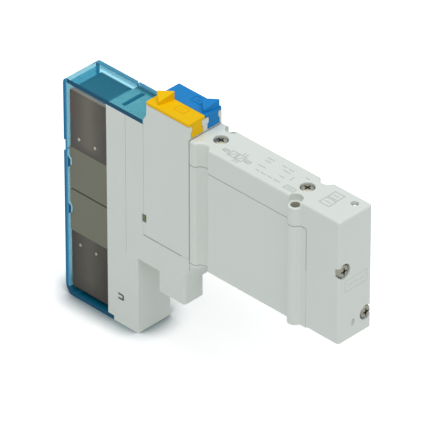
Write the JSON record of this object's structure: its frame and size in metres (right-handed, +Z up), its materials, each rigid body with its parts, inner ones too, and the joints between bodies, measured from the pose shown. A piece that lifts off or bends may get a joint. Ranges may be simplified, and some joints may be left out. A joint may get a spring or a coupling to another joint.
{
  "type": "double-solenoid plug-in valve module",
  "caption": "Narrow base-mounted pneumatic spool valve with a stack of two solenoid pilots under a clear clip-on cover, sliding manual overrides on top and a plug-in connector foot.",
  "frame": {"origin": "midway between the axes of the two mounting holes, in the plane of the face that rests on the manifold", "axes": "+X runs from the solenoid pilots to the end cover, +Y across the station's width away from the pictured side, +Z up from the manifold"},
  "size_m": [0.0861, 0.0134, 0.0668],
  "materials": {
    "body_paint": "die-cast, painted light grey",
    "light_resin": "moulded, fine texture",
    "clear_blue": "clear blue, polished",
    "clear_resin": "clear, polished",
    "board_green": "solder mask",
    "lamp_amber": "moulded lens",
    "black_resin": "moulded",
    "yellow_resin": "moulded, slight sheen",
    "blue_resin": "moulded, slight sheen",
    "pin_steel": "ground",
    "seal_rubber": "moulded",
    "spring_steel": "drawn wire",
    "spool_alloy": "turned",
    "ball_steel": "polished",
    "screw_steel": "zinc plated",
    "pilot_resin": "moulded olive grey",
    "can_steel": "deep-drawn, brushed along its length",
    "winding_copper": "enamelled wire",
    "core_iron": "turned",
    "contact_brass": "stamped"
  },
  "bodies": {
    "module": {"valve_body": "body_paint", "end_cover": "light_resin", "override_block": "light_resin", "plug_housing": "light_resin", "pilot_carrier": "light_resin", "pilot_cover": "clear_blue", "light_guide": "clear_resin", "circuit_board": "board_green", "indicator_lamps": "lamp_amber", "connector_insert": "black_resin", "contact_pins": "contact_brass", "base_gasket": "seal_rubber", "cover_gasket": "seal_rubber", "valve_gasket": "seal_rubber", "block_gasket": "seal_rubber", "pilot_gaskets": "seal_rubber", "sealing_ball": "ball_steel", "top_screws": "screw_steel", "end_screws": "screw_steel", "tie_screws": "screw_steel", "pin_spring_a": "spring_steel", "pin_spring_b": "spring_steel", "pilot_a_body": "pilot_resin", "pilot_a_can": "can_steel", "pilot_a_bobbin": "black_resin", "pilot_a_winding": "winding_copper", "pilot_a_core": "core_iron", "pilot_a_spring": "spring_steel", "pilot_a_terminals": "contact_brass", "pilot_b_body": "pilot_resin", "pilot_b_can": "can_steel", "pilot_b_bobbin": "black_resin", "pilot_b_winding": "winding_copper", "pilot_b_core": "core_iron", "pilot_b_spring": "spring_steel", "pilot_b_terminals": "contact_brass"},
    "slider_a": {"override_slider_a": "yellow_resin"},
    "slider_b": {"override_slider_b": "blue_resin"},
    "pin_a": {"override_pin_a": "pin_steel", "pin_ring_a": "seal_rubber"},
    "pin_b": {"override_pin_b": "pin_steel", "pin_ring_b": "seal_rubber"},
    "spool": {"spool": "spool_alloy", "spool_seals": "seal_rubber", "piston_a": "black_resin", "piston_b": "black_resin", "piston_packings": "seal_rubber"},
    "armature_a": {"pilot_a_armature": "core_iron", "pilot_a_poppet": "seal_rubber"},
    "armature_b": {"pilot_b_armature": "core_iron", "pilot_b_poppet": "seal_rubber"}
  },
  "joints": [
    {"name": "slider_a_slide", "type": "slide", "parent": "module", "child": "slider_a", "axis": [-1, 0, 0], "range_m": [0, 0.0025]},
    {"name": "slider_b_slide", "type": "slide", "parent": "module", "child": "slider_b", "axis": [-1, 0, 0], "range_m": [0, 0.0025]},
    {"name": "pin_a_press", "type": "slide", "parent": "module", "child": "pin_a", "axis": [0, 0, -1], "range_m": [0, 0.0008], "deforming": ["pin_spring_a"]},
    {"name": "pin_b_press", "type": "slide", "parent": "module", "child": "pin_b", "axis": [0, 0, -1], "range_m": [0, 0.0008], "deforming": ["pin_spring_b"]},
    {"name": "spool_shift", "type": "slide", "parent": "module", "child": "spool", "axis": [1, 0, 0], "range_m": [0, 0.0021]},
    {"name": "armature_a_lift", "type": "slide", "parent": "module", "child": "armature_a", "axis": [0, 0, 1], "range_m": [0, 0.0004], "stiffness_N_per_m": 1000, "springref_m": -0.0005, "deforming": ["pilot_a_spring"]},
    {"name": "armature_b_lift", "type": "slide", "parent": "module", "child": "armature_b", "axis": [0, 0, -1], "range_m": [0, 0.0004], "stiffness_N_per_m": 1000, "springref_m": -0.0005, "deforming": ["pilot_b_spring"]}
  ],
  "couplings": [
    {"joint": "pin_a_press", "follows": "slider_a_slide", "ratio": 0.32},
    {"joint": "pin_b_press", "follows": "slider_b_slide", "ratio": 0.32}
  ]
}
